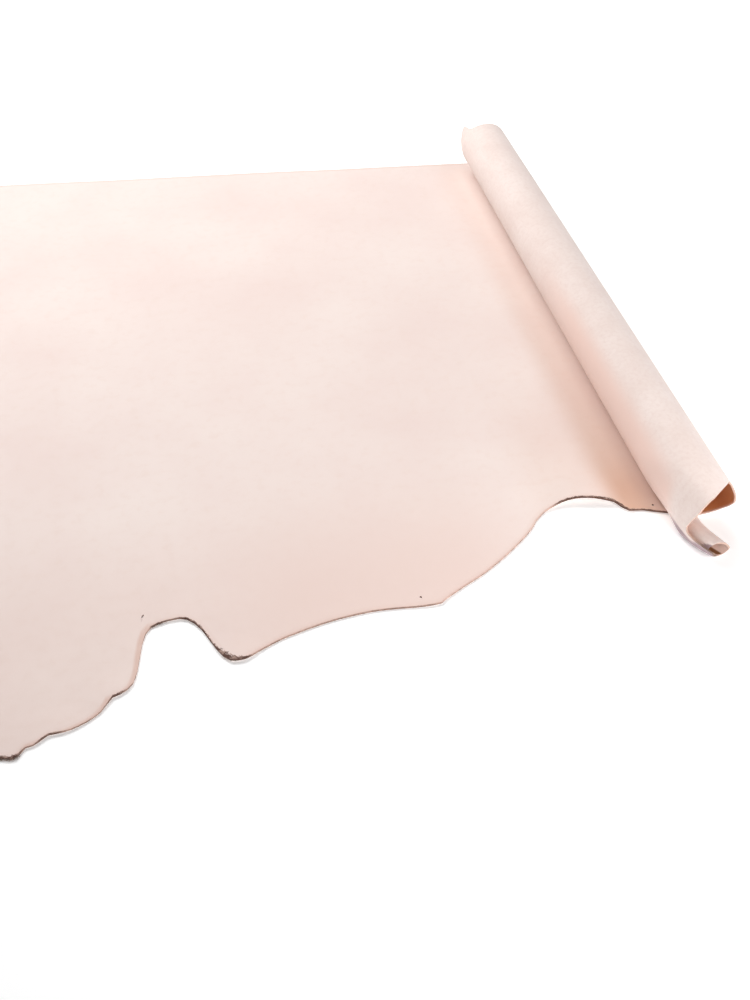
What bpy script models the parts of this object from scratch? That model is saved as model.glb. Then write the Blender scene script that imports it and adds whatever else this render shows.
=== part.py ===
"""A side of vegetable-tanned cowhide laid grain side up, one end rolled back over itself.

The hide is one sheet. Its back edge is cut straight along the spine, its belly edge is the
natural one, and the end at +X goes up and over towards -X, flesh side out, in a loose roll
whose last turn is a small curl. A leg piece at the belly end of the roll tapers into a horn.

Two measures place every point of the sheet. "drop" runs along the roll, from the back corner
towards the belly. Square to it, "run" measures the laid part, up to 0 where the roll begins,
and "turn" measures the roll, as the sheet's heading in degrees: 90 climbs the far wall,
180 crosses the top, 270 comes down the near wall and 360 lies on the sheet's own base.
"""
from collections import namedtuple
from math import cos, hypot, pi, radians, sin

import bmesh
import bpy
from mathutils import Vector

THICKNESS = 0.0022
LAYER_GAP = 0.0010          # air between the inner turn and the base it rests on
ROLL_SKEW = radians(7.2)    # how far the roll leans from square to the back edge
BACK_SLANT = 0.127          # the straight back edge, as drop for each metre of run

COLUMN_STEP = 0.020         # widest column of faces on the laid part
FULL_TURN = 360             # degrees of heading for each turn of the roll
TURN_STEP = 14              # most degrees of heading for each face round the roll

# Rows of faces from the back edge, 0, to the belly edge, 1: close together near the belly.
ROWS = (0, 0.012, 0.1, 0.3, 0.5, 0.67, 0.79, 0.865, 0.91, 0.935, 0.955, 0.97, 0.982, 0.992, 1)

Edge = namedtuple("Edge", "run drop")
Rim = namedtuple("Rim", "turn drop")
Size = namedtuple("Size", "drop radius")
Curl = namedtuple("Curl", "drop shift lift radius begins ends last_turn")
Lift = namedtuple("Lift", "run drop reach height")

# The belly edge of the laid part, stretch by stretch from the neck end to the roll.
NECK_END = (
    Edge(-1.400, 0.030), Edge(-1.395, 0.130), Edge(-1.372, 0.290), Edge(-1.330, 0.440),
    Edge(-1.270, 0.570), Edge(-1.195, 0.690), Edge(-1.120, 0.775), Edge(-1.075, 0.850),
)
FIRST_LEG = (
    Edge(-1.050, 0.930), Edge(-1.020, 1.010), Edge(-0.975, 1.0585), Edge(-0.910, 1.087),
    Edge(-0.860, 1.094), Edge(-0.827, 1.091), Edge(-0.814, 1.094), Edge(-0.808, 1.091),
    Edge(-0.805, 1.084), Edge(-0.790, 1.081), Edge(-0.778, 1.072), Edge(-0.761, 1.071),
    Edge(-0.744, 1.066), Edge(-0.723, 1.054), Edge(-0.716, 1.047), Edge(-0.710, 1.037),
    Edge(-0.699, 1.033), Edge(-0.687, 1.025), Edge(-0.682, 1.017), Edge(-0.678, 1.005),
    Edge(-0.667, 0.960),
)
FLANK_NOTCH = (
    Edge(-0.662, 0.949), Edge(-0.656, 0.942), Edge(-0.635, 0.937), Edge(-0.623, 0.937),
    Edge(-0.613, 0.942), Edge(-0.606, 0.951), Edge(-0.600, 0.962), Edge(-0.591, 0.988),
    Edge(-0.582, 1.007), Edge(-0.577, 1.012), Edge(-0.571, 1.014), Edge(-0.564, 1.014),
    Edge(-0.540, 1.003),
)
BELLY = (
    Edge(-0.511, 0.991), Edge(-0.440, 0.976), Edge(-0.407, 0.974), Edge(-0.378, 0.976),
    Edge(-0.356, 0.979), Edge(-0.342, 0.980), Edge(-0.331, 0.980), Edge(-0.320, 0.973),
    Edge(-0.298, 0.960), Edge(-0.265, 0.942),
)
SECOND_ARCH = (
    Edge(-0.192, 0.885), Edge(-0.179, 0.869), Edge(-0.162, 0.856), Edge(-0.150, 0.852),
    Edge(-0.138, 0.850), Edge(-0.126, 0.851), Edge(-0.108, 0.855), Edge(-0.084, 0.862),
    Edge(-0.075, 0.866), Edge(-0.070, 0.875), Edge(-0.065, 0.879), Edge(-0.051, 0.8804),
    Edge(-0.034, 0.887), Edge(0.0, 0.901),
)
BELLY_EDGE = NECK_END + FIRST_LEG + FLANK_NOTCH + BELLY + SECOND_ARCH

# The back edge turns a rounded corner at the neck end and is straight from there on.
NECK_CORNER = 0.05

# The cut edges at the two ends of the roll.
BELLY_RIM = (
    Rim(0, 0.902), Rim(30, 0.9095), Rim(58, 0.920), Rim(74, 0.928), Rim(90, 0.934),
    Rim(100, 0.934), Rim(114, 0.929), Rim(130, 0.930), Rim(150, 0.943), Rim(170, 0.956),
    Rim(190, 0.967), Rim(205, 0.970), Rim(215, 0.9695), Rim(228, 0.964), Rim(240, 0.958),
    Rim(250, 0.9535), Rim(257, 0.953), Rim(262, 0.956), Rim(266, 0.963), Rim(270, 0.974),
    Rim(276, 0.984), Rim(290, 0.984), Rim(310, 0.981), Rim(330, 0.979), Rim(360, 0.979),
    Rim(420, 0.980), Rim(460, 0.982), Rim(490, 0.980), Rim(530, 0.979), Rim(580, 0.9775),
    Rim(645, 0.975),
)
BACK_RIM = (
    Rim(0, 0.0), Rim(120, 0.006), Rim(150, 0.009), Rim(185, 0.011), Rim(216, 0.009),
    Rim(228, -0.013), Rim(240, -0.007), Rim(264, 0.006), Rim(300, 0.022), Rim(360, 0.035),
    Rim(460, 0.050), Rim(580, 0.055),
)

# Outer radius of the roll, and the small curl in which the sheet ends. The curl's shift is its
# centre's distance from the line where the roll begins, and its lift the height of its underside
# over what it lies on. The sheet changes over from the large circle to the small one between the
# two headings, and its own end lies at the last turn.
ROLL_RADIUS = (Size(0.0, 0.0400), Size(0.91, 0.0443))
CURL = (
    Curl(0.00, 0.0000, 0.0000, 0.0220, 290, 430, 470),
    Curl(0.30, -0.0030, 0.0000, 0.0200, 290, 425, 490),
    Curl(0.65, -0.0080, 0.0000, 0.0180, 285, 415, 530),
    Curl(0.84, -0.0150, 0.0000, 0.0155, 250, 365, 585),
    Curl(0.90, -0.0115, 0.0000, 0.0150, 205, 305, 620),
    Curl(0.932, -0.0108, 0.0000, 0.0144, 195, 295, 640),
    Curl(0.950, -0.0065, 0.0006, 0.0139, 190, 290, 645),
    Curl(0.965, -0.0003, 0.0014, 0.0133, 190, 290, 645),
    Curl(0.975, 0.0048, 0.0024, 0.0126, 190, 290, 645),
    Curl(0.986, 0.0108, 0.0034, 0.0112, 190, 290, 645),
)

# The curl lies on the sheet's own base up to where the horn starts, and over the blend it comes
# down to the floor. From the tightening heading on, its last turn draws in by one layer.
HORN_STARTS = 0.90
HORN_BLEND = 0.03
TIGHTENS_FROM = 450
TIGHTENS_OVER = 150

# Places near the edge where the dry leather stands off the floor.
LIFTS = (
    Lift(-1.395, 0.160, 0.160, 0.006), Lift(-1.140, 0.760, 0.120, 0.004),
    Lift(-0.940, 1.085, 0.100, 0.006), Lift(-0.772, 1.075, 0.055, 0.0012),
    Lift(-0.705, 1.033, 0.040, 0.0012), Lift(-0.620, 0.940, 0.045, 0.0012),
    Lift(-0.572, 1.012, 0.045, 0.0020), Lift(-0.330, 0.982, 0.045, 0.0010),
    Lift(-0.110, 0.850, 0.065, 0.010),
)


def follow(rows, column, place):
    """Value of a column at a place, on a smooth curve through the rows that never overshoots."""
    keys = [row[0] for row in rows]
    values = [getattr(row, column) for row in rows]
    place = min(max(place, keys[0]), keys[-1])
    at = max(i for i in range(len(rows) - 1) if keys[i] <= place)
    slopes = [(values[i + 1] - values[i]) / (keys[i + 1] - keys[i]) for i in range(len(rows) - 1)]

    def tangent(i):
        if i == 0 or i == len(slopes):
            return slopes[min(i, len(slopes) - 1)]
        before, after = slopes[i - 1], slopes[i]
        if before * after <= 0:
            return 0.0
        return 2 * before * after / (before + after)

    width = keys[at + 1] - keys[at]
    x = (place - keys[at]) / width
    ease = x * x * (3 - 2 * x)
    start_pull = x * (1 - x) ** 2 * width * tangent(at)
    end_pull = x * x * (x - 1) * width * tangent(at + 1)
    return values[at] * (1 - ease) + values[at + 1] * ease + start_pull + end_pull


def eased(x):
    """0 below 0, 1 above 1, and a smooth step between."""
    x = min(max(x, 0.0), 1.0)
    return x * x * (3 - 2 * x)


def back_edge(run):
    """Drop of the straight back edge, with the rounded corner at the neck end."""
    into_corner = max(0.0, NECK_CORNER - (run - BELLY_EDGE[0].run))
    return BACK_SLANT * run + NECK_CORNER - (NECK_CORNER ** 2 - into_corner ** 2) ** 0.5


def laid_point(run, drop):
    """Middle of the sheet's thickness on the laid part."""
    height = 0.0
    for lift in LIFTS:
        away = hypot(run - lift.run, drop - lift.drop) / lift.reach
        height += lift.height * (0.5 + 0.5 * cos(pi * min(away, 1.0)))
    return Vector((run, drop, THICKNESS / 2 + height))


def rolled_point(turn, drop):
    """Middle of the sheet's thickness in the roll: a large circle that becomes a small curl."""
    begins, ends = follow(CURL, "begins", drop), follow(CURL, "ends", drop)
    into_curl = eased((turn - begins) / (ends - begins))
    angle = radians(turn)
    centre = follow(ROLL_RADIUS, "radius", drop)
    layer = THICKNESS + LAYER_GAP
    large = centre - THICKNESS / 2 - layer * min(turn / FULL_TURN, 1.0)
    on_floor = eased((drop - HORN_STARTS) / HORN_BLEND)
    rest = THICKNESS / 2 + layer * (1 - on_floor) + follow(CURL, "lift", drop)
    small = follow(CURL, "radius", drop) - THICKNESS / 2
    tucked = small - layer * eased((turn - TIGHTENS_FROM) / TIGHTENS_OVER)
    outer = Vector((large * sin(angle), drop, centre - large * cos(angle)))
    shift = follow(CURL, "shift", drop)
    inner = Vector((shift + tucked * sin(angle), drop, rest + small - tucked * cos(angle)))
    return outer.lerp(inner, into_curl)


def stand(point):
    """Turn a point of the (run, drop, height) frame so that the back edge lies along X."""
    across, along, height = point
    x = across * cos(ROLL_SKEW) + along * sin(ROLL_SKEW)
    y = across * sin(ROLL_SKEW) - along * cos(ROLL_SKEW)
    return Vector((x, y, height))


def spread(places, step):
    """The places with each gap between them split evenly into parts no wider than a step."""
    split = [places[0]]
    for start, end in zip(places, places[1:]):
        parts = int((end - start) / step) + 1
        split += [start + (end - start) * part / parts for part in range(1, parts + 1)]
    return split


def sheet_columns():
    """Lines of points from the back edge to the belly edge, one for each column of the sheet."""
    columns = []
    for run in spread([edge.run for edge in BELLY_EDGE], COLUMN_STEP):
        start, end = back_edge(run), follow(BELLY_EDGE, "drop", run)
        columns.append([laid_point(run, start + (end - start) * row) for row in ROWS])
    most = max(curl.last_turn for curl in CURL)
    for turn in spread([rim.turn for rim in BELLY_RIM], TURN_STEP)[1:]:
        start, end = follow(BACK_RIM, "drop", turn), follow(BELLY_RIM, "drop", turn)
        column = []
        for row in ROWS:
            drop = start + (end - start) * row
            reach = (follow(CURL, "last_turn", drop) - FULL_TURN) / (most - FULL_TURN)
            heading = turn if turn < FULL_TURN else FULL_TURN + (turn - FULL_TURN) * reach
            column.append(rolled_point(heading, drop))
        columns.append(column)
    return columns


def make_leather():
    """Undyed vegetable-tanned leather: pale pinkish tan, smooth but not glossy."""
    leather = bpy.data.materials.new("vegetable_tanned_leather")
    leather.use_nodes = True
    shader = leather.node_tree.nodes["Principled BSDF"]
    shader.inputs["Base Color"].default_value = (0.83, 0.66, 0.56, 1)
    shader.inputs["Roughness"].default_value = 0.55
    shader.inputs["Metallic"].default_value = 0.0
    return leather


def make_hide(collection):
    """The whole hide: one open sheet of faces, given its thickness by Solidify."""
    columns = sheet_columns()
    mesh = bmesh.new()
    grid = [[mesh.verts.new(stand(point)) for point in column] for column in columns]
    for left, right in zip(grid, grid[1:]):
        for row in range(len(ROWS) - 1):
            mesh.faces.new((left[row], left[row + 1], right[row + 1], right[row]))
    bmesh.ops.triangulate(mesh, faces=mesh.faces, quad_method="SHORT_EDGE")
    data = bpy.data.meshes.new("hide")
    mesh.to_mesh(data)
    mesh.free()
    data.shade_smooth()
    data.materials.append(make_leather())
    hide = bpy.data.objects.new("hide", data)
    collection.objects.link(hide)
    solid = hide.modifiers.new("thickness", "SOLIDIFY")
    solid.thickness = THICKNESS
    solid.offset = 0
    return hide


def centre_on_floor(hide):
    """Put the origin under the middle of the hide's bounding box, at floor level."""
    bpy.context.view_layer.update()
    evaluated = hide.evaluated_get(bpy.context.evaluated_depsgraph_get())
    corners = [Vector(corner) for corner in evaluated.bound_box]
    middle = (corners[0] + corners[6]) / 2
    for vertex in hide.data.vertices:
        vertex.co.x -= middle.x
        vertex.co.y -= middle.y


def main():
    for item in list(bpy.data.objects):
        bpy.data.objects.remove(item)
    collection = bpy.data.collections.new("vegetable_tanned_cowhide")
    bpy.context.scene.collection.children.link(collection)
    centre_on_floor(make_hide(collection))


main()
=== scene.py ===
"""Side of vegetable-tanned cowhide, laid grain side up with one end rolled back over itself.

Sizes are in metres. "drop" runs along the roll, from the back corner towards the belly. Square to
it, "run" measures the laid part, up to 0 where the roll begins, and "turn" measures the roll, as
the sheet's heading in degrees.
"""
from collections import namedtuple
from types import SimpleNamespace

import bmesh
import bpy
import numpy as np
from bpy.props import FloatProperty, FloatVectorProperty, IntProperty, PointerProperty
from mathutils import Color, Matrix, Vector, kdtree


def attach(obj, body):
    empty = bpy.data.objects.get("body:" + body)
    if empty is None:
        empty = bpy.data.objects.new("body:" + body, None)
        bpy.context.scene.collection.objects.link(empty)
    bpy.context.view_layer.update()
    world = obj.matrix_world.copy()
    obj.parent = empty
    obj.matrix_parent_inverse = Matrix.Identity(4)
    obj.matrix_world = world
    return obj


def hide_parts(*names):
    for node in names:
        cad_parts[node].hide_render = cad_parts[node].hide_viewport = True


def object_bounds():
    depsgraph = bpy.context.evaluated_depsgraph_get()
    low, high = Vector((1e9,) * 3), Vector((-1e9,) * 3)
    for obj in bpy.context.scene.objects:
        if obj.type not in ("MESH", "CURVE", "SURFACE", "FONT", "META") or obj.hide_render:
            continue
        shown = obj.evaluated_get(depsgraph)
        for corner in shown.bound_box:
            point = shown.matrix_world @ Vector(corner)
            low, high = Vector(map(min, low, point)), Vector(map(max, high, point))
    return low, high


bl_info = {
    "name": "Vegetable-tanned cowhide",
    "version": (1, 0, 0),
    "blender": (4, 5, 0),
    "location": "View3D > Sidebar > Cowhide",
    "description": "Builds a laid and rolled side of cowhide and the studio around it",
    "category": "Object",
}

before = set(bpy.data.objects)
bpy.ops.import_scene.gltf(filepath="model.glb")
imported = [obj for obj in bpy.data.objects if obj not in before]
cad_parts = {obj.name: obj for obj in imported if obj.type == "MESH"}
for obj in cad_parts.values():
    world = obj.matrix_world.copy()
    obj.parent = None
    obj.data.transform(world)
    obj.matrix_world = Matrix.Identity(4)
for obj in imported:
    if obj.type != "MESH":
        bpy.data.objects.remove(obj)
CAD_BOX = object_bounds()

Edge = namedtuple("Edge", "run drop")
Rim = namedtuple("Rim", "turn drop")
Size = namedtuple("Size", "drop radius")
Curl = namedtuple("Curl", "drop shift lift radius begins ends last_turn")
Lift = namedtuple("Lift", "run drop reach height")
Hole = namedtuple("Hole", "run drop width length angle")
Tuft = namedtuple("Tuft", "run drop reach strands length")
Tone = namedtuple("Tone", "run dark soft")
Crease = namedtuple("Crease", "drop turn")
Share = namedtuple("Share", "drop share")
Ramp = namedtuple("Ramp", "starts ends")
Wave = namedtuple("Wave", "by_run by_drop phase height")
Space = namedtuple("Space", "kind output settings")
Pattern = namedtuple("Pattern", "millimetres detail roughness")
Layer = namedtuple("Layer", "pattern starts full most tone")
Relief = namedtuple("Relief", "pattern strength depth")
Light = namedtuple("Light", "name place aim width power")

ROLL_SKEW = np.radians(7.2)
BACK_SLANT = 0.127
NECK_CORNER = 0.05
FULL_TURN = 360
SHARP_FROM = np.radians(50)
OUTLINE_PARTS = 8

# Long soft waves of the laid part: radians per metre each way, and height before scaling.
WAVES = (Wave(11.3, 7.1, 0.4, 1.0), Wave(19.7, -13.9, 2.2, 1.0), Wave(31.0, 37.0, 1.3, 0.5))
FLAT_BY_ROLL = Ramp(0.0, -0.15)
FLAT_BY_EDGE = Ramp(0.0, 0.08)

# The belly edge of the laid part, stretch by stretch from the neck end to the roll.
NECK_END = (
    Edge(-1.400, 0.030), Edge(-1.395, 0.130), Edge(-1.372, 0.290), Edge(-1.330, 0.440),
    Edge(-1.270, 0.570), Edge(-1.195, 0.690), Edge(-1.120, 0.775), Edge(-1.075, 0.850),
)
FIRST_LEG = (
    Edge(-1.050, 0.930), Edge(-1.020, 1.010), Edge(-0.975, 1.0585), Edge(-0.910, 1.087),
    Edge(-0.860, 1.094), Edge(-0.827, 1.091), Edge(-0.814, 1.094), Edge(-0.808, 1.091),
    Edge(-0.805, 1.084), Edge(-0.790, 1.081), Edge(-0.778, 1.072), Edge(-0.761, 1.071),
    Edge(-0.744, 1.066), Edge(-0.723, 1.054), Edge(-0.716, 1.047), Edge(-0.710, 1.037),
    Edge(-0.699, 1.033), Edge(-0.687, 1.025), Edge(-0.682, 1.017), Edge(-0.678, 1.005),
    Edge(-0.667, 0.960),
)
FLANK_NOTCH = (
    Edge(-0.662, 0.949), Edge(-0.656, 0.942), Edge(-0.635, 0.937), Edge(-0.623, 0.937),
    Edge(-0.613, 0.942), Edge(-0.606, 0.951), Edge(-0.600, 0.962), Edge(-0.591, 0.988),
    Edge(-0.582, 1.007), Edge(-0.577, 1.012), Edge(-0.571, 1.014), Edge(-0.564, 1.014),
    Edge(-0.540, 1.003),
)
BELLY = (
    Edge(-0.511, 0.991), Edge(-0.440, 0.976), Edge(-0.407, 0.974), Edge(-0.378, 0.976),
    Edge(-0.356, 0.979), Edge(-0.342, 0.980), Edge(-0.331, 0.980), Edge(-0.320, 0.973),
    Edge(-0.298, 0.960), Edge(-0.265, 0.942),
)
SECOND_ARCH = (
    Edge(-0.192, 0.885), Edge(-0.179, 0.869), Edge(-0.162, 0.856), Edge(-0.150, 0.852),
    Edge(-0.138, 0.850), Edge(-0.126, 0.851), Edge(-0.108, 0.855), Edge(-0.084, 0.862),
    Edge(-0.075, 0.866), Edge(-0.070, 0.875), Edge(-0.065, 0.879), Edge(-0.051, 0.8804),
    Edge(-0.034, 0.887), Edge(0.0, 0.901),
)
BELLY_EDGE = NECK_END + FIRST_LEG + FLANK_NOTCH + BELLY + SECOND_ARCH

# The cut edges at the two ends of the roll.
BELLY_RIM = (
    Rim(0, 0.902), Rim(30, 0.9095), Rim(58, 0.920), Rim(74, 0.928), Rim(90, 0.934),
    Rim(100, 0.934), Rim(114, 0.929), Rim(130, 0.930), Rim(150, 0.943), Rim(170, 0.956),
    Rim(190, 0.967), Rim(205, 0.970), Rim(215, 0.9695), Rim(228, 0.964), Rim(240, 0.958),
    Rim(250, 0.9535), Rim(257, 0.953), Rim(262, 0.956), Rim(266, 0.963), Rim(270, 0.974),
    Rim(276, 0.984), Rim(290, 0.984), Rim(310, 0.981), Rim(330, 0.979), Rim(360, 0.979),
    Rim(420, 0.980), Rim(460, 0.982), Rim(490, 0.980), Rim(530, 0.979), Rim(580, 0.9775),
    Rim(645, 0.975),
)
BACK_RIM = (
    Rim(0, 0.0), Rim(120, 0.006), Rim(150, 0.009), Rim(185, 0.011), Rim(216, 0.009),
    Rim(228, -0.013), Rim(240, -0.007), Rim(264, 0.006), Rim(300, 0.022), Rim(360, 0.035),
    Rim(460, 0.050), Rim(580, 0.055),
)

# Outer radius of the roll, and the small curl in which the sheet ends inside it.
ROLL_RADIUS = (Size(0.0, 0.0400), Size(0.91, 0.0443))
CURL = (
    Curl(0.00, 0.0000, 0.0000, 0.0220, 290, 430, 470),
    Curl(0.30, -0.0030, 0.0000, 0.0200, 290, 425, 490),
    Curl(0.65, -0.0080, 0.0000, 0.0180, 285, 415, 530),
    Curl(0.84, -0.0150, 0.0000, 0.0155, 250, 365, 585),
    Curl(0.90, -0.0115, 0.0000, 0.0150, 205, 305, 620),
    Curl(0.932, -0.0108, 0.0000, 0.0144, 195, 295, 640),
    Curl(0.950, -0.0065, 0.0006, 0.0139, 190, 290, 645),
    Curl(0.965, -0.0003, 0.0014, 0.0133, 190, 290, 645),
    Curl(0.975, 0.0048, 0.0024, 0.0126, 190, 290, 645),
    Curl(0.986, 0.0108, 0.0034, 0.0112, 190, 290, 645),
)
# The drop over which the curl comes down to the floor, and the turn over which it tightens.
ON_FLOOR = Ramp(0.90, 0.93)
TIGHTENS = Ramp(450, 600)

# Places near the edge where the dry leather stands off the floor.
LIFTS = (
    Lift(-1.395, 0.160, 0.160, 0.006), Lift(-1.140, 0.760, 0.120, 0.004),
    Lift(-0.940, 1.085, 0.100, 0.006), Lift(-0.772, 1.075, 0.055, 0.0012),
    Lift(-0.705, 1.033, 0.040, 0.0012), Lift(-0.620, 0.940, 0.045, 0.0012),
    Lift(-0.572, 1.012, 0.045, 0.0020), Lift(-0.330, 0.982, 0.045, 0.0010),
    Lift(-0.110, 0.850, 0.065, 0.010),
)

# Holes left by the nails that stretched the wet hide.
NAIL_HOLES = (
    Hole(-0.664, 0.925, 0.0022, 0.0056, -20), Hole(-0.350, 0.966, 0.0024, 0.0036, 20),
    Hole(-0.033, 0.8765, 0.0024, 0.0030, 0),
)

# Along the belly edge, by run: how far in from it a dark band reaches, painted shadow under the
# lifted edge over the raw edge's own brown, and how far a softer ruddy band of painted shade
# reaches where the edge turns down.
EDGE_TONES = (
    Tone(-1.400, 0.0008, 0.0), Tone(-0.860, 0.0008, 0.0), Tone(-0.827, 0.0026, 0.0),
    Tone(-0.812, 0.0030, 0.0), Tone(-0.805, 0.0004, 0.004), Tone(-0.790, 0.0, 0.004),
    Tone(-0.784, 0.0012, 0.0), Tone(-0.768, 0.0014, 0.0), Tone(-0.757, 0.0, 0.002),
    Tone(-0.722, 0.0, 0.004), Tone(-0.718, 0.0, 0.009), Tone(-0.711, 0.0, 0.009),
    Tone(-0.707, 0.0016, 0.001), Tone(-0.696, 0.0018, 0.0), Tone(-0.690, 0.0, 0.004),
    Tone(-0.680, 0.0, 0.008), Tone(-0.670, 0.0, 0.010), Tone(-0.660, 0.0, 0.008),
    Tone(-0.655, 0.0006, 0.003), Tone(-0.650, 0.0012, 0.0), Tone(-0.640, 0.0004, 0.0),
    Tone(-0.628, 0.0006, 0.0), Tone(-0.615, 0.0020, 0.0), Tone(-0.602, 0.0020, 0.0),
    Tone(-0.592, 0.0014, 0.0), Tone(-0.584, 0.0032, 0.0), Tone(-0.575, 0.0052, 0.0),
    Tone(-0.566, 0.0036, 0.0), Tone(-0.558, 0.0016, 0.0), Tone(-0.550, 0.0003, 0.002),
    Tone(-0.450, 0.0004, 0.001), Tone(-0.341, 0.0006, 0.0), Tone(-0.331, 0.0, 0.001),
    Tone(-0.155, 0.0, 0.001), Tone(-0.148, 0.0014, 0.0), Tone(-0.136, 0.0020, 0.0),
    Tone(-0.110, 0.0018, 0.0), Tone(-0.095, 0.0026, 0.0), Tone(-0.085, 0.0032, 0.0),
    Tone(-0.073, 0.0030, 0.0), Tone(-0.066, 0.0014, 0.0), Tone(-0.030, 0.0012, 0.0),
    Tone(0.0, 0.0016, 0.0),
)

# How strongly painted shade of the roll, warm with its bounced light, darkens the grain in the
# strip beside it.
ROLL_SHADE_SHARES = (
    Share(0.00, 0.08), Share(0.27, 0.12), Share(0.40, 0.15), Share(0.53, 0.21),
    Share(0.65, 0.26), Share(0.76, 0.39), Share(0.80, 0.49), Share(0.84, 0.58),
    Share(0.90, 0.60),
)

# The crease where the sheet bends under the roll's leg piece: beyond it the flesh and its cut edge
# are darkened with a grey painted shade.
CREASE = (
    Crease(0.9000, 300), Crease(0.9084, 282), Crease(0.9184, 270), Crease(0.9264, 266),
    Crease(0.9360, 265), Crease(0.9432, 267), Crease(0.9492, 272), Crease(0.9536, 275),
    Crease(0.9565, 280), Crease(0.9592, 277), Crease(0.9624, 273), Crease(0.9680, 262),
    Crease(0.9716, 246), Crease(0.9752, 233), Crease(0.9900, 215),
)

# Where the painted shade beside the roll, the ruddier belly tone and the edge bands of the laid
# part begin and end, by run or by drop.
STRIP_BEGINS = Ramp(-0.100, -0.062)
STRIP_FADES = Ramp(-0.055, -0.010)
STRIP_FADE = 0.85
AROUND_RUN = Ramp(-0.20, -0.14)
AROUND_DROP = Ramp(0.55, 0.80)
AROUND_SHARE = 0.11
BELLY_RUN = Ramp(-0.15, -0.30)
BELLY_DROP = Ramp(0.70, 0.95)
LEG_RUN = Ramp(-0.62, -0.47)
LEG_SHARE = 0.45
EDGE_TONES_BEGIN = 0.2

# Where the painted shade of the roll begins and ends, by turn or by drop: warm on its lower-left
# flank, deep inside it, grey past the crease and dark in the mouth of its curl.
WARM_TURN = Ramp(205, 245)
WARM_TURN_ENDS = Ramp(350, 330)
WARM_DROP = Ramp(0.35, 0.60)
WARM_DROP_ENDS = Ramp(0.93, 0.90)
INSIDE_DROP = Ramp(0.45, 0.75)
INSIDE_LEAST = 0.25
INSIDE_ENDS = Ramp(0.935, 0.965)
INSIDE_FADE = 0.72
PAST_CREASE = Ramp(-3, 3)
GREYED_DROP = Ramp(0.905, 0.913)
MOUTH_LOW = Ramp(36, 30)
MOUTH_HIGH = Ramp(290, 310)
MOUTH_DROP = Ramp(0.952, 0.960)

# Nail holes: how far round one the mesh is cut finer, in hole lengths and at least in metres.
HOLE_REACH = 1.5
HOLE_REACH_LEAST = 0.014
HOLE_CUTS = 9

# Stretches of the edge where loose fibres stand out in tufts.
TUFTS = (
    Tuft(-0.820, 1.093, 0.024, 700, 0.0035), Tuft(-0.650, 0.941, 0.014, 380, 0.0030),
    Tuft(-0.628, 0.937, 0.024, 160, 0.0018), Tuft(-0.576, 1.012, 0.016, 120, 0.0016),
)
FIBRE_SEED = 7
FIBRE_SPACING = 0.0006
FIBRES_PER_SPACING = 1.2
FIBRE_ROOT_DEPTH = 0.0004
FIBRE_SIDES = 3
FIBRE_ROOT_SPREAD = 0.45
FIBRE_LENGTHS = (0.3, 1.3)
FIBRE_TURN, FIBRE_TILT, FIBRE_BEND = 0.7, 0.35, 0.25
FIBRE_MIDDLE, FIBRE_MIDDLE_WIDTH = 0.55, 0.7

# Where the patterns lie: on the flat leather, or through the solid.
FLAT = Space("ShaderNodeUVMap", "UV", {"uv_map": "flat"})
SOLID = Space("ShaderNodeTexCoord", "Object", {})

# Grain: broad clouds of tan, small stains and pores, and the ragged, streaky limit of the dark
# edge. Real pores are about 0.1 mm wide, too fine to show, so they are drawn ten times as coarse.
GRAIN_PATTERNS = {
    "clouds": Pattern(180, 3.0, 0.5), "mottle": Pattern(14, 4.0, 0.6),
    "pores": Pattern(1.1, 2.0, 0.6), "ragged": Pattern(3, 4.0, 0.7),
    "streaks": Pattern(6, 3.0, 0.6),
}
GRAIN_SHARES = (
    "edge_distance", "beside", "inside", "belly", "mouth_dark", "dark_width", "soft_width")

# Flesh: hand-sized clouds, thumb-sized mottling and the nap. Real nap is about 0.3 mm, drawn at
# more than twice that so that it shows.
FLESH_PATTERNS = {
    "clouds": Pattern(60, 3.0, 0.5), "mottle": Pattern(6, 5.0, 0.65),
    "nap": Pattern(0.8, 3.0, 0.7),
}
FLESH_SHARES = ("edge_distance", "greyed", "warmed")

# Edge: bundles of fibre, drawn a little coarse, and the stretches where the dark tone breaks.
EDGE_PATTERNS = {"fibres": Pattern(0.9, 4.0, 0.7), "breaks": Pattern(9, 3.0, 0.6)}
EDGE_SHARES = ("dark_width", "rolled", "greyed")

# Fibres: some lighter than others, by stretches of a few millimetres.
FIBRE_PATTERNS = {"stretches": Pattern(4, 2.0, 0.5)}

# The Mix node has sockets for each kind of data; these are the ones for colours.
MIX_SHARE, MIX_FIRST, MIX_SECOND, MIX_RESULT = 0, 6, 7, 2

FLOOR_HALF = 12
FLOOR_DROP = 0.0004
WALL_FADE = Ramp(0.12, 0.40)
CAMERA_FROM_CORNER = Vector((-0.38812, -2.09945))
CAMERA_LENS = 50
CAMERA_SENSOR = 36
CAMERA_RANGE = 60
LIGHTS = (
    Light("back_softbox", (0.0, 1.3, 2.0), (0.1, 0.0, 0.0), 1.8, 39.5),
    Light("back_left_softbox", (-1.4, 2.2, 2.6), (0.1, 0.0, 0.0), 1.8, 78),
    Light("fill_softbox", (1.25, -1.05, 0.55), (0.72, -0.5, 0.02), 0.6, 5.6),
    Light("near_softbox", (0.95, -0.95, 0.30), (0.72, -0.5, 0.03), 0.25, 3.0),
)


def linear(code):
    """Linear colour from an sRGB hex value."""
    values = np.array([int(code[i:i + 2], 16) / 255 for i in (1, 3, 5)])
    low, high = values / 12.92, ((values + 0.055) / 1.055) ** 2.4
    return tuple(float(v) for v in np.where(values <= 0.04045, low, high))


def per_mm(millimetres):
    """Texture scale that gives a pattern features of this size, in a space of metres."""
    return 1000 / millimetres


def colour(name, description, code):
    """Property that holds a colour, from its sRGB hex value."""
    return FloatVectorProperty(
        name=name, description=description, subtype="COLOR", size=3, min=0, max=1,
        default=linear(code))


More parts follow.
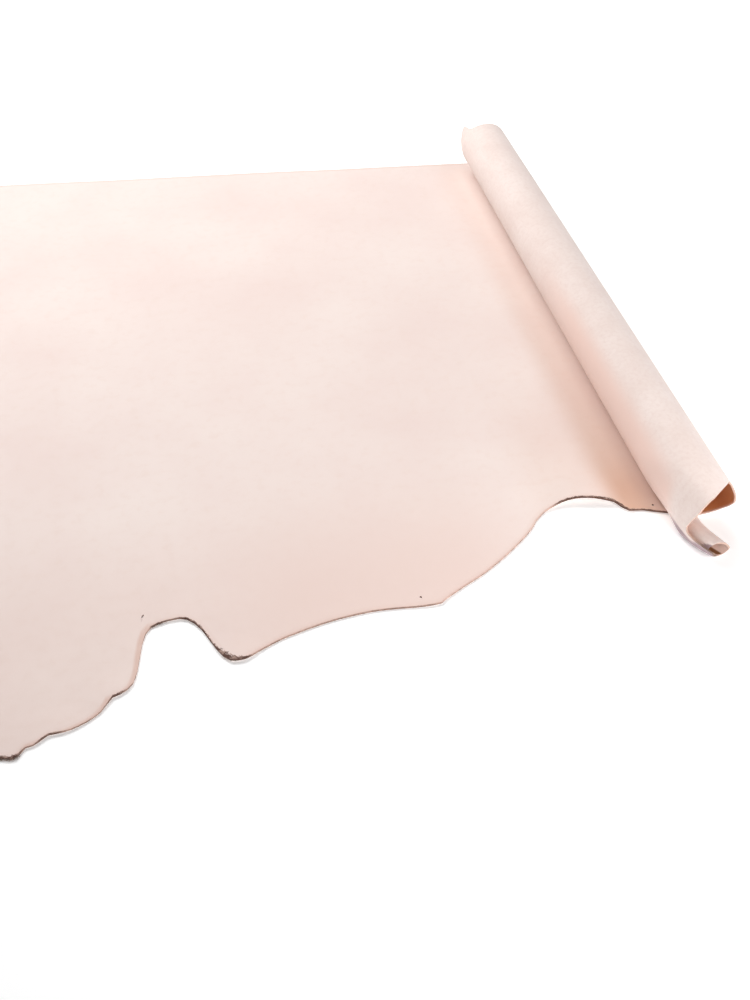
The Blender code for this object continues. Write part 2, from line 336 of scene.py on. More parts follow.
class HideSizes(bpy.types.PropertyGroup):
    """Sizes of the leather itself."""
    thickness: FloatProperty(
        name="Thickness", description="Thickness of the leather",
        default=0.0022, min=0.001, max=0.004, precision=4, unit="LENGTH")
    layer_gap: FloatProperty(
        name="Layer gap", description="Air between the inner turn and the base it rests on",
        default=0.0010, min=0.0, max=0.01, precision=4, unit="LENGTH")
    unevenness: FloatProperty(
        name="Unevenness", description="Height of the long soft waves in the laid leather",
        default=0.0012, min=0.0, max=0.005, precision=4, unit="LENGTH")
    column_step: FloatProperty(
        name="Column step", description="Widest column of faces on the laid part",
        default=0.008, min=0.004, max=0.05, precision=4, unit="LENGTH")
    turn_step: IntProperty(
        name="Turn step", description="Degrees of heading for each face round the roll",
        default=5, min=2, max=20)
    fibre_width: FloatProperty(
        name="Fibre width", description="Width of a loose fibre at its root",
        default=0.00022, min=0.00005, max=0.001, precision=5, unit="LENGTH")
    fibre_length: FloatProperty(
        name="Fibre length", description="Usual length of the fibres along a cut edge",
        default=0.0011, min=0.0, max=0.01, precision=4, unit="LENGTH")


class HideColours(bpy.types.PropertyGroup):
    """Colours of the leather's two faces, its edge and its fibres, and of the painted shade and
    shadow laid over them.
    """
    grain: colour("Grain", "Smooth side, undyed", "#F0E0D9")
    grain_pink: colour("Pink grain", "Broad clouds that took more tan", "#ECD8D1")
    grain_mottle: colour("Mottled grain", "Small stains and pores", "#EAD4CA")
    # Darker and ruddier towards the belly edge of the laid part.
    grain_belly: colour("Belly grain", "Darker, ruddier towards the belly edge", "#EAD2C9")
    grain_rim: colour("Rim grain", "Smooth side close to an edge", "#DEBDAF")
    # Painted shade of the roll on the grain beside it, warm with its bounced light.
    grain_roll_shade: colour("Roll shade grain", "Smooth side beside the roll", "#C58A5C")
    # Painted shade on the grain inside the roll, warm with light bounced round it.
    grain_hollow_shade: colour("Hollow shade grain", "Smooth side inside the roll", "#D08A5A")
    # Painted shade in the dark mouth of the roll's small curl.
    mouth_shade: colour("Mouth", "Smooth side in the dark of the curl", "#7C5133")
    # Dark brown of the band along the lifted belly edge: painted shadow under the edge over the
    # raw edge's own brown; also laid in random breaks along every cut edge.
    shadowed_brown: colour("Shadowed edge", "Painted shadow band over the raw edge", "#4F3126")
    flesh: colour("Flesh", "Napped side", "#F2E2DB")
    flesh_dark: colour("Dark flesh", "Hollows of the nap", "#DFC6BC")
    # Painted shade on the roll's lower-left flank, warm with light bounced off the laid grain.
    flesh_flank_shade: colour("Flank shade flesh", "Napped side low on the roll's left", "#F0D1C5")
    # Painted shade on the flesh where the sheet bends under the roll's leg piece.
    flesh_crease_shade: colour("Crease shade flesh", "Napped side bent under the roll", "#AB9297")
    # The raw edge's own colour, outside the painted shadow band.
    edge_plain: colour("Plain edge", "Raw edge where it isn't burnt", "#C2A193")
    cut: colour("Cut", "Clean cut edge", "#BFA294")
    # Painted shade on the cut edge where the sheet bends under the roll.
    cut_crease_shade: colour("Crease shade cut", "Cut edge bent under the roll", "#857066")
    fibre: colour("Fibre", "Loose fibres", "#8C7468")
    fibre_light: colour("Light fibre", "Loose fibres where they are paler", "#BB9C8C")


class StudioSettings(bpy.types.PropertyGroup):
    """Camera, floor and light of the studio."""
    camera_height: FloatProperty(
        name="Camera height", description="Height of the camera over the floor",
        default=1.15, min=0.2, max=5, unit="LENGTH")
    pitch: FloatProperty(
        name="Pitch", description="How far the camera looks down",
        default=float(np.radians(42)), min=0, max=1.57, subtype="ANGLE")
    heading: FloatProperty(
        name="Heading", description="Direction of view, counter-clockwise from +X",
        default=float(np.radians(84.3225)), min=-3.15, max=3.15, subtype="ANGLE")
    walls: FloatProperty(
        name="Walls", description="Brightness of the white walls near the floor",
        default=0.50, min=0, max=5)
    overhead: FloatProperty(
        name="Overhead", description="Brightness of the ceiling",
        default=0.05, min=0, max=5)
    floor: colour("Floor", "White paper", "#FCFCFC")
    floor_glow: FloatProperty(
        name="Floor glow", description="Light of the floor's own, as on a lit sweep",
        default=0.25, min=0, max=2)


def follow(rows, column, places):
    """Values of a column at the places, on a smooth curve that never overshoots the rows."""
    keys = np.array([row[0] for row in rows], float)
    values = np.array([getattr(row, column) for row in rows], float)
    places = np.clip(places, keys[0], keys[-1])
    at = np.clip(np.searchsorted(keys, places, side="right") - 1, 0, len(keys) - 2)
    slopes = np.diff(values) / np.diff(keys)
    before, after = slopes[:-1], slopes[1:]
    total = np.where(before * after > 0, before + after, 1)
    inner = np.where(before * after > 0, 2 * before * after / total, 0)
    tangents = np.concatenate([slopes[:1], inner, slopes[-1:]])
    width = np.diff(keys)[at]
    x = (places - keys[at]) / width
    ease = x * x * (3 - 2 * x)
    pull = x * (1 - x) ** 2 * tangents[at] + x * x * (x - 1) * tangents[at + 1]
    return values[at] * (1 - ease) + values[at + 1] * ease + width * pull


def eased(x):
    """0 below 0, 1 above 1, and a smooth step between."""
    x = np.clip(x, 0, 1)
    return x * x * (3 - 2 * x)


def rise(values, ramp):
    """Smooth step from 0 where the ramp starts to 1 where it ends."""
    return eased((values - ramp.starts) / (ramp.ends - ramp.starts))


def back_edge(run):
    """Drop of the straight back edge, with the rounded corner at the neck end."""
    into_corner = np.maximum(0, NECK_CORNER - (run - BELLY_EDGE[0].run))
    rounding = np.sqrt(np.maximum(0, NECK_CORNER ** 2 - into_corner ** 2))
    return BACK_SLANT * run + NECK_CORNER - rounding


def soft_waves(run, drop):
    """Long shallow unevenness from 0 to 1, fading out at the belly edge and beside the roll."""
    waves = sum(w.height * np.sin(run * w.by_run + drop * w.by_drop + w.phase) for w in WAVES)
    level = 0.5 + waves / (2 * sum(w.height for w in WAVES))
    from_edge = follow(BELLY_EDGE, "drop", run) - drop
    return level * rise(run, FLAT_BY_ROLL) * rise(from_edge, FLAT_BY_EDGE)


def laid_points(run, drop, sizes):
    """Middle of the sheet's thickness on the laid part."""
    height = sizes.unevenness * soft_waves(run, drop)
    for lift in LIFTS:
        away = np.hypot(run - lift.run, drop - lift.drop) / lift.reach
        height = height + lift.height * (0.5 + 0.5 * np.cos(np.pi * np.minimum(away, 1)))
    return np.stack([run, drop, sizes.thickness / 2 + height], -1)


def rolled_points(turn, drop, sizes):
    """Middle of the sheet's thickness in the roll: a large circle that becomes a small curl."""
    begins, ends = follow(CURL, "begins", drop), follow(CURL, "ends", drop)
    into_curl = eased((turn - begins) / (ends - begins))[..., None]
    angle = np.radians(turn)
    centre = follow(ROLL_RADIUS, "radius", drop)
    layer = sizes.thickness + sizes.layer_gap
    large = centre - sizes.thickness / 2 - layer * np.minimum(turn / FULL_TURN, 1)
    off_floor = layer * (1 - rise(drop, ON_FLOOR)) + follow(CURL, "lift", drop)
    rest = sizes.thickness / 2 + off_floor
    small = follow(CURL, "radius", drop) - sizes.thickness / 2
    tucked = small - layer * rise(turn, TIGHTENS)
    shift = follow(CURL, "shift", drop)
    outer = np.stack([large * np.sin(angle), drop, centre - large * np.cos(angle)], -1)
    inner_height = rest + small - tucked * np.cos(angle)
    inner = np.stack([shift + tucked * np.sin(angle), drop, inner_height], -1)
    return outer * (1 - into_curl) + inner * into_curl


def stand(points):
    """Turn points of the (run, drop, height) frame so that the back edge lies along X."""
    across, along, height = points[..., 0], points[..., 1], points[..., 2]
    x = across * np.cos(ROLL_SKEW) + along * np.sin(ROLL_SKEW)
    y = across * np.sin(ROLL_SKEW) - along * np.cos(ROLL_SKEW)
    return np.stack([x, y, height], -1)


def spread(places, step):
    """The places with each gap between them split evenly into parts no wider than a step."""
    split = [places[0]]
    for start, end in zip(places, places[1:]):
        parts = int((end - start) / step) + 1
        split += [start + (end - start) * part / parts for part in range(1, parts + 1)]
    return np.array(split)


def row_fractions():
    """Places of the rows from the back edge, 0, to the belly edge, 1, closest near the edges."""
    return np.concatenate([
        [0, 0.002, 0.006], np.linspace(0.012, 0.84, 44), np.linspace(0.85, 0.96, 24),
        np.linspace(0.964, 0.988, 9), [0.991, 0.994, 0.9965, 0.9985, 1]])


def laid_columns(step):
    """Runs of the laid part's columns: evenly apart, and closer where the belly edge is steep."""
    fine = np.linspace(BELLY_EDGE[0].run, 0, 4000)
    steepness = 0.35 * np.diff(follow(BELLY_EDGE, "drop", fine))
    travelled = np.concatenate([[0], np.cumsum(np.hypot(np.diff(fine), steepness))])
    wanted = np.linspace(0, travelled[-1], int(travelled[-1] / step) + 1)
    return np.interp(wanted, travelled, fine)


def sheet_grid(sizes):
    """The open sheet by column and row: its points, places along the flat leather and headings."""
    rows = row_fractions()[None, :]
    runs = laid_columns(sizes.column_step)[:, None]
    start, end = back_edge(runs), follow(BELLY_EDGE, "drop", runs)
    drops = start + (end - start) * rows
    laid = laid_points(runs + 0 * drops, drops, sizes)
    no_heading = 0 * drops
    most = max(curl.last_turn for curl in CURL)
    turns = spread([rim.turn for rim in BELLY_RIM], sizes.turn_step)[1:, None]
    start, end = follow(BACK_RIM, "drop", turns), follow(BELLY_RIM, "drop", turns)
    drops = start + (end - start) * rows
    reach = (follow(CURL, "last_turn", drops) - FULL_TURN) / (most - FULL_TURN)
    headings = np.where(turns < FULL_TURN, turns, FULL_TURN + (turns - FULL_TURN) * reach)
    rolled = rolled_points(headings, drops, sizes)
    points = np.concatenate([laid, rolled])
    steps = np.linalg.norm(np.diff(points, axis=0), axis=-1)
    along = np.concatenate([runs + 0 * rows, runs[-1] + np.cumsum(steps[len(runs) - 1:], axis=0)])
    return stand(points), along, points[..., 1], np.concatenate([no_heading, headings])


class HIDE_OT_sheet(bpy.types.Operator):
    """Make the hide: one sheet, laid and rolled, with its grain, its flesh side and its edge"""
    bl_idname = "hide.sheet"
    bl_label = "Make the hide"

    def execute(self, context):
        make_sheet(context.scene)
        return {"FINISHED"}


def middle_shift(points):
    """What moves the sheet so that its box and the solid's box have the same middle."""
    low, high = points.reshape(-1, 3).min(0), points.reshape(-1, 3).max(0)
    middle = (CAD_BOX[0] + CAD_BOX[1]) / 2
    return np.array([middle.x - (low[0] + high[0]) / 2, middle.y - (low[1] + high[1]) / 2, 0])


def edge_loop(points):
    """The sheet's outline, in order: back edge, last turn, belly edge and neck end."""
    return np.concatenate([points[:-1, 0], points[-1, :-1], points[:0:-1, -1], points[0, :0:-1]])


def pierce(mesh, centre, hole):
    """Cut a nail hole of a given width and length into the open sheet."""
    turned = Matrix.Rotation(np.radians(hole.angle), 3, "Z")
    half = Vector((hole.width / 2, hole.length / 2))
    reach = HOLE_REACH * hole.length

    def place(vertex):
        away = turned.inverted() @ (vertex.co - centre)
        return Vector((away.x / half.x, away.y / half.y))

    def within(distance):
        return [v for v in mesh.verts if (v.co - centre).length < distance]

    edges = {e for v in within(max(reach, HOLE_REACH_LEAST)) for e in v.link_edges}
    bmesh.ops.subdivide_edges(mesh, edges=list(edges), cuts=HOLE_CUTS, use_grid_fill=True)
    inside = [v for v in within(reach) if place(v).length < 1]
    if not inside:
        raise RuntimeError("the mesh is too coarse for a nail hole")
    bmesh.ops.delete(mesh, geom=inside, context="VERTS")
    for vertex in within(reach):
        if vertex.is_boundary:
            way = place(vertex).normalized()
            moved = turned @ Vector((way.x * half.x, way.y * half.y, 0))
            vertex.co.x, vertex.co.y = centre.x + moved.x, centre.y + moved.y


def open_sheet(sizes):
    """Mesh of the pierced sheet without its thickness, its outline, and how far it was moved."""
    points, along, drops, headings = sheet_grid(sizes)
    shift = middle_shift(points)
    points = points + shift
    mesh = bmesh.new()
    flat = mesh.loops.layers.uv.new("flat")
    heading = mesh.verts.layers.float.new("heading")
    grid = [[mesh.verts.new(point) for point in column] for column in points]
    for column, turns in zip(grid, headings):
        for vertex, turn in zip(column, turns):
            vertex[heading] = turn
    for left in range(len(grid) - 1):
        for row in range(len(grid[0]) - 1):
            corners = ((left, row), (left, row + 1), (left + 1, row + 1), (left + 1, row))
            face = mesh.faces.new([grid[c][r] for c, r in corners])
            for loop, (c, r) in zip(face.loops, corners):
                loop[flat].uv = (along[c, r], drops[c, r])
    for hole in NAIL_HOLES:
        centre = stand(laid_points(np.array(hole.run), np.array(hole.drop), sizes)) + shift
        pierce(mesh, Vector(centre), hole)
    data = bpy.data.meshes.new("hide_leather")
    mesh.to_mesh(data)
    mesh.free()
    return data, edge_loop(points), shift


def make_sheet(scene):
    """Build the hide and say what it is to the frame."""
    sizes = scene.hide_sizes
    data, outline, shift = open_sheet(sizes)
    add_edge_distance(data, outline)
    add_tones(data, shift)
    for material in (make_grain(scene), make_flesh(scene), make_edge(scene)):
        data.materials.append(material)
    hide = bpy.data.objects.new("hide_leather", data)
    scene.collection.objects.link(hide)
    solid = hide.modifiers.new("thickness", "SOLIDIFY")
    solid.thickness = sizes.thickness
    solid.offset = 0
    solid.material_offset = 1
    solid.material_offset_rim = 2
    apply_thickness(hide)
    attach(hide, "root")
    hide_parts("hide")


def apply_thickness(hide):
    """Turn the sheet and its thickness into one mesh, smooth but for its sharp edges."""
    view = bpy.context.evaluated_depsgraph_get()
    view.update()
    solid = bpy.data.meshes.new_from_object(
        hide.evaluated_get(view), preserve_all_data_layers=True, depsgraph=view)
    hide.modifiers.clear()
    hide.data = solid
    solid.shade_smooth()
    solid.set_sharp_from_angle(angle=SHARP_FROM)


def add_edge_distance(data, corners):
    """Store how far each vertex is from the nearest cut edge, in metres."""
    shares = np.linspace(0, 1, OUTLINE_PARTS, endpoint=False)[None, :, None]
    outline = corners[:, None] + (np.roll(corners, -1, 0) - corners)[:, None] * shares
    outline = outline.reshape(-1, 3)
    tree = kdtree.KDTree(len(outline))
    for index, point in enumerate(outline):
        tree.insert(point, index)
    tree.balance()
    distance = data.attributes.new("edge_distance", "FLOAT", "POINT")
    distance.data.foreach_set("value", [tree.find(v.co)[2] for v in data.vertices])


def laid_tones(across, drop):
    """Tones of the laid part, by name: painted shade beside the roll, the ruddier belly, and the
    widths of the painted shadow and painted shade bands along the belly edge.
    """
    fade = 1 - STRIP_FADE * rise(across, STRIP_FADES)
    around = AROUND_SHARE * rise(drop, AROUND_DROP) * rise(across, AROUND_RUN)
    more = follow(ROLL_SHADE_SHARES, "share", drop) - around
    leg = LEG_SHARE + (1 - LEG_SHARE) * rise(across, LEG_RUN)
    on_belly_edge = drop > EDGE_TONES_BEGIN
    return {
        "beside": around + more * rise(across, STRIP_BEGINS) * fade,
        "belly": rise(drop, BELLY_DROP) * rise(across, BELLY_RUN) * leg,
        "dark_width": follow(EDGE_TONES, "dark", across) * on_belly_edge,
        "soft_width": follow(EDGE_TONES, "soft", across) * on_belly_edge,
    }


def rolled_tones(turn, drop, inner):
    """Tones of the roll, by name: painted shade inside it, on its flank, past the crease and in
    its curl's mouth, and the mark of its clean cut ends; inner marks the turn of the sheet inside
    the first one.
    """
    inside = INSIDE_LEAST + (1 - INSIDE_LEAST) * rise(drop, INSIDE_DROP)
    flank = rise(turn, WARM_TURN) * rise(turn, WARM_TURN_ENDS) * (1 - inner)
    past_crease = rise(turn - follow(CREASE, "turn", drop), PAST_CREASE)
    low_in_mouth = np.minimum(rise(turn, MOUTH_LOW) + rise(turn, MOUTH_HIGH), 1)
    return {
        "inside": inside * (1 - INSIDE_FADE * rise(drop, INSIDE_ENDS)),
        "warmed": flank * rise(drop, WARM_DROP) * rise(drop, WARM_DROP_ENDS),
        "greyed": past_crease * rise(drop, GREYED_DROP),
        "mouth_dark": low_in_mouth * rise(drop, MOUTH_DROP) * inner,
        "rolled": np.ones(len(turn)),
    }


def add_tones(data, shift):
    """Store where painted shade and shadow lie on the leather, where it is ruddier towards the
    belly, and where its cut edges are clean.
    """
    places = np.array([vertex.co for vertex in data.vertices]) - shift
    across = places[:, 0] * np.cos(ROLL_SKEW) + places[:, 1] * np.sin(ROLL_SKEW)
    drop = places[:, 0] * np.sin(ROLL_SKEW) - places[:, 1] * np.cos(ROLL_SKEW)
    heading = np.zeros(len(data.vertices))
    data.attributes["heading"].data.foreach_get("value", heading)
    inner = heading > FULL_TURN
    turn = np.where(inner, heading - FULL_TURN, heading)
    rolled = heading > 0
    for on_part, tones in ((~rolled, laid_tones(across, drop)),
                           (rolled, rolled_tones(turn, drop, inner))):
        for name, share in tones.items():
            tone = data.attributes.new(name, "FLOAT", "POINT")
            tone.data.foreach_set("value", share * on_part)


def fill(tree, node, inputs):
    """Set a node's inputs; each is a value, a colour or another node's output."""
    for name, value in inputs.items():
        if isinstance(value, bpy.types.NodeSocket):
            tree.links.new(value, node.inputs[name])
        elif isinstance(value, Color):
            node.inputs[name].default_value = (*value, 1)
        else:
            node.inputs[name].default_value = value


def add(tree, kind, output, inputs, **settings):
    """Add a node with its settings and inputs, and give one of its outputs."""
    node = tree.nodes.new(kind)
    for name, value in settings.items():
        setattr(node, name, value)
    fill(tree, node, inputs)
    return node.outputs[output]


def new_material(name):
    """A material with an empty tree but for its Principled shader and output."""
    material = bpy.data.materials.new(name)
    material.use_nodes = True
    tree = material.node_tree
    return material, tree, tree.nodes["Principled BSDF"]


def read(tree, space, patterns, shares=()):
    """The noise patterns and the stored shares that a material uses, by name."""
    place = add(tree, space.kind, space.output, {}, **space.settings)
    found = {}
    for key, pattern in patterns.items():
        found[key] = add(tree, "ShaderNodeTexNoise", "Fac", {
            "Vector": place, "Scale": per_mm(pattern.millimetres), "Detail": pattern.detail,
            "Roughness": pattern.roughness})
    for key in shares:
        found[key] = add(tree, "ShaderNodeAttribute", "Fac", {}, attribute_name=key)
    return SimpleNamespace(**found)


def overlay(tree, toned, layers):
    """Lay tones over one another; each shows most where its pattern is full."""
    for layer in layers:
        share = add(tree, "ShaderNodeMapRange", "Result", {
            "Value": layer.pattern, "From Min": layer.starts, "From Max": layer.full,
            "To Min": 0.0, "To Max": layer.most})
        toned = add(tree, "ShaderNodeMix", MIX_RESULT, {
            MIX_SHARE: share, MIX_FIRST: toned, MIX_SECOND: layer.tone}, data_type="RGBA")
    return toned


def emboss(tree, reliefs):
    """Normal of a surface with patterns pressed into it, one over another."""
    under = {}
    for relief in reliefs:
        normal = add(tree, "ShaderNodeBump", "Normal", {
            "Height": relief.pattern, "Strength": relief.strength, "Distance": relief.depth,
            **under})
        under = {"Normal": normal}
    return normal


def beyond_edge(tree, width, ragged, edge_distance):
    """How far a tone along the edge, its width made uneven, reaches past a place."""
    reach = add(tree, "ShaderNodeMath", "Value", {0: width, 1: ragged}, operation="MULTIPLY")
    return add(
        tree, "ShaderNodeMath", "Value", {0: reach, 1: edge_distance}, operation="SUBTRACT")


def make_grain(scene):
    """Vegetable-tanned cowhide, undyed, its grain side pressed smooth under a warm plate."""
    # The tan lies in broad pale pink clouds with faint pores, a little darker by each cut edge and
    # ruddier towards the belly;
    # painted shade darkens it beside the roll, inside it and in its curl, and painted shadow under
    # the lifted belly edge lies over the raw edge's own brown. Plating leaves it silky, with a
    # soft highlight and no gloss.
    colours = scene.hide_colours
    material, tree, shader = new_material("vegetable_tanned_grain_plated")
    got = read(tree, FLAT, GRAIN_PATTERNS, GRAIN_SHARES)
    ragged = add(tree, "ShaderNodeMapRange", "Result", {
        "Value": got.ragged, "From Min": 0.3, "From Max": 0.7, "To Min": 0.4, "To Max": 1.8})
    dark = add(tree, "ShaderNodeMapRange", "Result", {
        "Value": beyond_edge(tree, got.dark_width, ragged, got.edge_distance),
        "From Min": -0.0003, "From Max": 0.0005, "To Max": 0.95})
    # Width of a softer band of painted shade where the belly edge turns down.
    soft = beyond_edge(tree, got.soft_width, 0.5, got.edge_distance)
    # Dark band along the belly edge: painted shadow under the lifted edge over the raw edge's own
    # brown, ragged and streaked.
    shadowed_brown = overlay(tree, colours.shadowed_brown, [
        Layer(got.streaks, 0.48, 0.64, 0.50, colours.grain_rim)])
    toned = overlay(tree, colours.grain, [
        Layer(got.clouds, 0.35, 0.70, 1.00, colours.grain_pink),
        Layer(got.mottle, 0.50, 0.80, 0.45, colours.grain_mottle),
        Layer(got.pores, 0.60, 0.80, 0.35, colours.grain_mottle),
        Layer(got.belly, 0.0, 1.0, 1.0, colours.grain_belly),
        Layer(got.edge_distance, 0.008, 0.0, 0.30, colours.grain_rim),
        # Painted shade inside the roll, warm with its bounced light.
        Layer(got.inside, 0.0, 1.0, 1.0, colours.grain_hollow_shade),
        # Painted shade of the roll on the strip beside it.
        Layer(got.beside, 0.0, 1.0, 1.0, colours.grain_roll_shade),
        # Painted shade where the belly edge turns down.
        Layer(soft, -0.003, 0.001, 0.85, colours.grain_rim),
        # Painted shadow under the lifted belly edge, over the raw edge's own brown.
        Layer(dark, 0.0, 1.0, 1.0, shadowed_brown),
        # Painted shade in the curl's mouth.
        Layer(got.mouth_dark, 0.0, 1.0, 1.0, colours.mouth_shade)])
    silky = add(tree, "ShaderNodeMapRange", "Result", {
        "Value": got.mottle, "From Min": 0.3, "From Max": 0.7, "To Min": 0.54, "To Max": 0.66})
    dull_where_dark = add(
        tree, "ShaderNodeMath", "Value", {0: dark, 1: silky}, operation="MAXIMUM")
    fill(tree, shader, {
        "Base Color": toned, "Roughness": dull_where_dark, "IOR": 1.45,
        "Specular IOR Level": 0.35, "Sheen Weight": 0.10, "Sheen Roughness": 0.4,
        "Normal": emboss(tree, [
            Relief(got.pores, 0.25, 0.00006), Relief(got.mottle, 0.5, 0.00020)])})
    return material


def make_flesh(scene):
    """Vegetable-tanned cowhide, its flesh side shaved to an even nap."""
    # Shaving leaves short fibre ends: matte and greyer than the grain, softly mottled, with the
    # faint bright rim of napped leather seen along its surface.
    # Painted shade lies on the roll's lower-left flank, warm, and grey beyond the crease under its
    # leg piece.
    colours = scene.hide_colours
    material, tree, shader = new_material("vegetable_tanned_flesh_shaved")
    got = read(tree, FLAT, FLESH_PATTERNS, FLESH_SHARES)
    toned = overlay(tree, colours.flesh, [
        Layer(got.clouds, 0.35, 0.70, 0.35, colours.flesh_dark),
        Layer(got.mottle, 0.45, 0.75, 0.45, colours.flesh_dark),
        Layer(got.nap, 0.50, 0.80, 0.50, colours.flesh_dark),
        Layer(got.edge_distance, 0.006, 0.0, 0.15, colours.flesh_dark),
        # Grey painted shade beyond the crease under the roll.
        Layer(got.greyed, 0.0, 1.0, 1.0, colours.flesh_crease_shade),
        # Painted shade, warm, on the roll's lower-left flank.
        Layer(got.warmed, 0.0, 1.0, 1.0, colours.flesh_flank_shade)])
    fill(tree, shader, {
        "Base Color": toned, "Roughness": 0.92, "Specular IOR Level": 0.2,
        "Sheen Weight": 0.25, "Sheen Roughness": 0.6,
        "Normal": emboss(tree, [Relief(got.nap, 0.6, 0.00025)])})
    return material


def make_edge(scene):
    """Vegetable-tanned cowhide cut through: raw along the belly, clean at the roll's ends."""
    # A cut shows the packed fibre in layers, with no shine: dark brown and broken along the raw
    # belly edge, where painted shadow under the lifted edge lies over its own brown, pale where a
    # knife left it clean, and darkened with painted shade where the sheet bends under the roll.
    colours = scene.hide_colours
    material, tree, shader = new_material("vegetable_tanned_raw_cut_edge")
    got = read(tree, SOLID, EDGE_PATTERNS, EDGE_SHARES)
    dark = overlay(tree, colours.shadowed_brown, [
        Layer(got.fibres, 0.40, 0.75, 0.4, colours.edge_plain)])
    toned = overlay(tree, colours.edge_plain, [
        Layer(got.breaks, 0.42, 0.58, 0.5, dark),
        # The belly edge's painted shadow carried onto the cut face.
        Layer(got.dark_width, 0.0002, 0.0018, 1.0, dark),
        Layer(got.rolled, 0.0, 1.0, 1.0, colours.cut),
        # Grey painted shade on the cut beyond the crease under the roll.
        Layer(got.greyed, 0.0, 1.0, 1.0, colours.cut_crease_shade)])
    fill(tree, shader, {
        "Base Color": toned, "Roughness": 0.95, "Specular IOR Level": 0.15,
        "Normal": emboss(tree, [Relief(got.fibres, 0.8, 0.0003)])})
    return material


class HIDE_OT_fibres(bpy.types.Operator):
    """Make the loose fibres that stand out along the cut edges"""
    bl_idname = "hide.fibres"
    bl_label = "Make the edge fibres"

    def execute(self, context):
        make_fibres(context.scene)
        return {"FINISHED"}


def fibre_roots(sizes, chance):
    """Runs, drops, outward ways and usual lengths of the fibres along the belly edge."""
    runs = np.arange(BELLY_EDGE[0].run + 0.004, -0.012, FIBRE_SPACING)
    drops = follow(BELLY_EDGE, "drop", runs)
    lengths = np.hypot(np.diff(runs), np.diff(drops))
    everywhere = chance.poisson(lengths / FIBRE_SPACING * FIBRES_PER_SPACING)
    wanted = [np.repeat(np.arange(len(lengths)), everywhere)]
    usual = [np.full(len(wanted[0]), sizes.fibre_length)]
    for tuft in TUFTS:
        away = np.hypot(runs[:-1] - tuft.run, drops[:-1] - tuft.drop)
        weight = np.clip(1 - away / tuft.reach, 0, None) * lengths
        picked = chance.choice(len(lengths), tuft.strands, p=weight / weight.sum())
        wanted.append(picked)
        usual.append(np.full(len(picked), tuft.length))
    at = np.concatenate(wanted)
    share = chance.random(len(at))
    run = runs[at] + (runs[at + 1] - runs[at]) * share
    drop = drops[at] + (drops[at + 1] - drops[at]) * share
    way = np.stack([-np.diff(drops), np.diff(runs)], -1)[at]
    way = way / np.linalg.norm(way, axis=1)[:, None]
    return run, drop, way, np.concatenate(usual)


def fibre_points(sizes):
    """Root, middle and tip of each fibre, and its outward way, in the (run, drop) frame."""
    chance = np.random.default_rng(FIBRE_SEED)
    run, drop, way, usual = fibre_roots(sizes, chance)
    count = len(run)
    root = laid_points(run, drop, sizes)
    depth = chance.uniform(-FIBRE_ROOT_SPREAD, FIBRE_ROOT_SPREAD, count)
    root[:, 2] += depth * sizes.thickness
    root[:, :2] -= way * FIBRE_ROOT_DEPTH
    turn = chance.normal(0, FIBRE_TURN, count)
    out = np.stack([way[:, 0] * np.cos(turn) - way[:, 1] * np.sin(turn),
                    way[:, 0] * np.sin(turn) + way[:, 1] * np.cos(turn),
                    chance.normal(0, FIBRE_TILT, count)], -1)
    length = usual * chance.uniform(*FIBRE_LENGTHS, count)
    middle = root + out * (length * FIBRE_MIDDLE)[:, None]
    bend = chance.normal(0, FIBRE_BEND, (count, 3)) * length[:, None]
    tip = root + out * length[:, None] + bend
    for point in (middle, tip):
        point[:, 2] = np.maximum(point[:, 2], sizes.fibre_width)
    return root, middle, tip, way


def make_fibres(scene):
    """Build each fibre as a slender tapered spike, bent at its middle."""
    sizes = scene.hide_sizes
    root, middle, tip, way = fibre_points(sizes)
    rings = []
    for centre, width in ((root, 1.0), (middle, FIBRE_MIDDLE_WIDTH)):
        for side in range(FIBRE_SIDES):
            angle = side * 2 * np.pi / FIBRE_SIDES
            off = np.stack([-way[:, 1] * np.cos(angle), way[:, 0] * np.cos(angle),
                            np.full(len(way), np.sin(angle))], -1)
            rings.append(centre + off * sizes.fibre_width * width / 2)
    rings.append(tip)
    points, _, _, _ = sheet_grid(sizes)
    vertices = stand(np.stack(rings, 1).reshape(-1, 3)) + middle_shift(points)
    faces = []
    for at in range(0, len(vertices), len(rings)):
        for side in range(FIBRE_SIDES):
            after = (side + 1) % FIBRE_SIDES
            low, high = at + side, at + side + FIBRE_SIDES
            low_after, high_after = at + after, at + after + FIBRE_SIDES
            faces.append((low, low_after, high_after, high))
            faces.append((high, high_after, at + 2 * FIBRE_SIDES))
        faces.append(tuple(range(at + FIBRE_SIDES - 1, at - 1, -1)))
    data = bpy.data.meshes.new("edge_fibres")
    data.from_pydata([tuple(v) for v in vertices], [], faces)
    data.materials.append(make_fibre_material(scene))
    fibres = bpy.data.objects.new("edge_fibres", data)
    scene.collection.objects.link(fibres)
    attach(fibres, "root")


def make_fibre_material(scene):
    """Collagen fibre torn loose at the raw edge."""
    # Torn and dried strands are dull and dusty brown, some bleached paler than others.
    colours = scene.hide_colours
    material, tree, shader = new_material("collagen_fibre_torn")
    got = read(tree, SOLID, FIBRE_PATTERNS)
    toned = overlay(tree, colours.fibre, [
        Layer(got.stretches, 0.35, 0.65, 1.0, colours.fibre_light)])
    fill(tree, shader, {"Base Color": toned, "Roughness": 0.9})
    return material


class STUDIO_OT_stage(bpy.types.Operator):
    """Make the pale floor, the soft lights and the camera"""
    bl_idname = "studio.stage"
    bl_label = "Make the studio"

    def execute(self, context):
        make_stage(context.scene)
        return {"FINISHED"}


